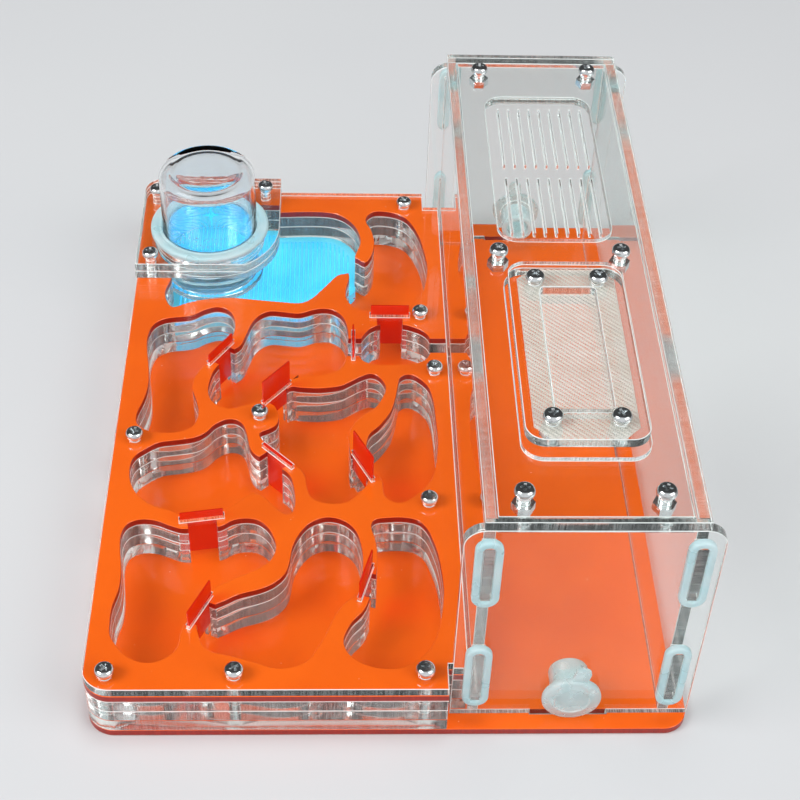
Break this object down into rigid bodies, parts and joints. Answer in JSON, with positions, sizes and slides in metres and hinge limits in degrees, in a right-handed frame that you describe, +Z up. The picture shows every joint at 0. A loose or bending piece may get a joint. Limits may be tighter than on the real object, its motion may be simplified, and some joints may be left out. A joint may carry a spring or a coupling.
{
  "type": "ant habitat",
  "caption": "Layered clear and orange acrylic ant nest with sliding gates and a water cup, joined by a tunnel to a clear foraging box with a vented lift-off lid.",
  "frame": {"origin": "middle of the base plate's underside", "axes": "+X towards the foraging box, +Y from the front to the rear, +Z up"},
  "size_m": [0.1696, 0.2276, 0.0894],
  "materials": {
    "orange_acrylic": "polished sheet with sawn edges",
    "clear_acrylic": "polished clear sheet with faintly green cut edges",
    "red_acrylic": "polished translucent sheet",
    "fastener_steel": "bright plated",
    "silicone": "smooth translucent",
    "plug_plastic": "smooth translucent",
    "cup_plastic": "clear moulded, polished",
    "moisture_plate": "pale blue, finely slit",
    "mesh_steel": "fine woven wire cloth"
  },
  "bodies": {
    "habitat": {"base_plate": "orange_acrylic", "chamber_layer_1": "clear_acrylic", "chamber_layer_2": "clear_acrylic", "chamber_layer_3": "clear_acrylic", "mask_plate": "orange_acrylic", "nest_cover": "clear_acrylic", "moisture_plate": "moisture_plate", "nest_screws": "fastener_steel", "nest_nuts": "fastener_steel", "adapter_lower": "clear_acrylic", "adapter_upper": "clear_acrylic", "adapter_screws": "fastener_steel", "adapter_nuts": "fastener_steel", "wall_left": "clear_acrylic", "wall_right": "clear_acrylic", "end_plate_front": "clear_acrylic", "end_plate_rear": "clear_acrylic", "sleeve_front_1": "silicone", "sleeve_front_2": "silicone", "sleeve_front_3": "silicone", "sleeve_front_4": "silicone", "sleeve_rear_1": "silicone", "sleeve_rear_2": "silicone", "sleeve_rear_3": "silicone", "sleeve_rear_4": "silicone"},
    "lid": {"lid_outer_plate": "clear_acrylic", "lid_inner_plate": "clear_acrylic", "lid_screws": "fastener_steel", "lid_nuts": "fastener_steel", "vent_mesh": "mesh_steel", "mesh_clamp": "clear_acrylic", "mesh_screws": "fastener_steel", "mesh_nuts": "fastener_steel"},
    "cup": {"water_cup": "cup_plastic", "cup_gasket": "silicone"},
    "plug_front": {"plug_front": "plug_plastic"},
    "plug_rear": {"plug_rear": "plug_plastic"},
    "gate_1": {"gate_1": "red_acrylic"},
    "gate_2": {"gate_2": "red_acrylic"},
    "gate_3": {"gate_3": "red_acrylic"},
    "gate_4": {"gate_4": "red_acrylic"},
    "gate_5": {"gate_5": "red_acrylic"},
    "gate_6": {"gate_6": "red_acrylic"},
    "gate_7": {"gate_7": "red_acrylic"},
    "gate_8": {"gate_8": "red_acrylic"},
    "gate_9": {"gate_9": "red_acrylic"}
  },
  "joints": [
    {"name": "lid_lift", "type": "slide", "parent": "habitat", "child": "lid", "axis": [0, 0, 1], "range_m": [0, 0.06]},
    {"name": "cup_lift", "type": "slide", "parent": "habitat", "child": "cup", "axis": [0, 0, 1], "range_m": [0, 0.06]},
    {"name": "gate_1_slide", "type": "slide", "parent": "habitat", "child": "gate_1", "axis": [0, 0, 1], "range_m": [-0.0022, 0.0138]},
    {"name": "gate_2_slide", "type": "slide", "parent": "habitat", "child": "gate_2", "axis": [0, 0, 1], "range_m": [-0.0053, 0.0107]},
    {"name": "gate_3_slide", "type": "slide", "parent": "habitat", "child": "gate_3", "axis": [0, 0, 1], "range_m": [-0.0062, 0.0098]},
    {"name": "gate_4_slide", "type": "slide", "parent": "habitat", "child": "gate_4", "axis": [0, 0, 1], "range_m": [-0.0003, 0.0157]},
    {"name": "gate_5_slide", "type": "slide", "parent": "habitat", "child": "gate_5", "axis": [0, 0, 1], "range_m": [-0.0035, 0.0125]},
    {"name": "gate_6_slide", "type": "slide", "parent": "habitat", "child": "gate_6", "axis": [0, 0, 1], "range_m": [-0.0084, 0.0076]},
    {"name": "gate_7_slide", "type": "slide", "parent": "habitat", "child": "gate_7", "axis": [0, 0, 1], "range_m": [-0.0026, 0.0134]},
    {"name": "gate_8_slide", "type": "slide", "parent": "habitat", "child": "gate_8", "axis": [0, 0, 1], "range_m": [-0.0088, 0.0072]},
    {"name": "gate_9_slide", "type": "slide", "parent": "habitat", "child": "gate_9", "axis": [0, 0, 1], "range_m": [-0.0028, 0.0132]},
    {"name": "plug_front_pull", "type": "slide", "parent": "habitat", "child": "plug_front", "axis": [0, -1, 0], "range_m": [0, 0.02]},
    {"name": "plug_rear_pull", "type": "slide", "parent": "habitat", "child": "plug_rear", "axis": [0, 1, 0], "range_m": [0, 0.02]}
  ]
}
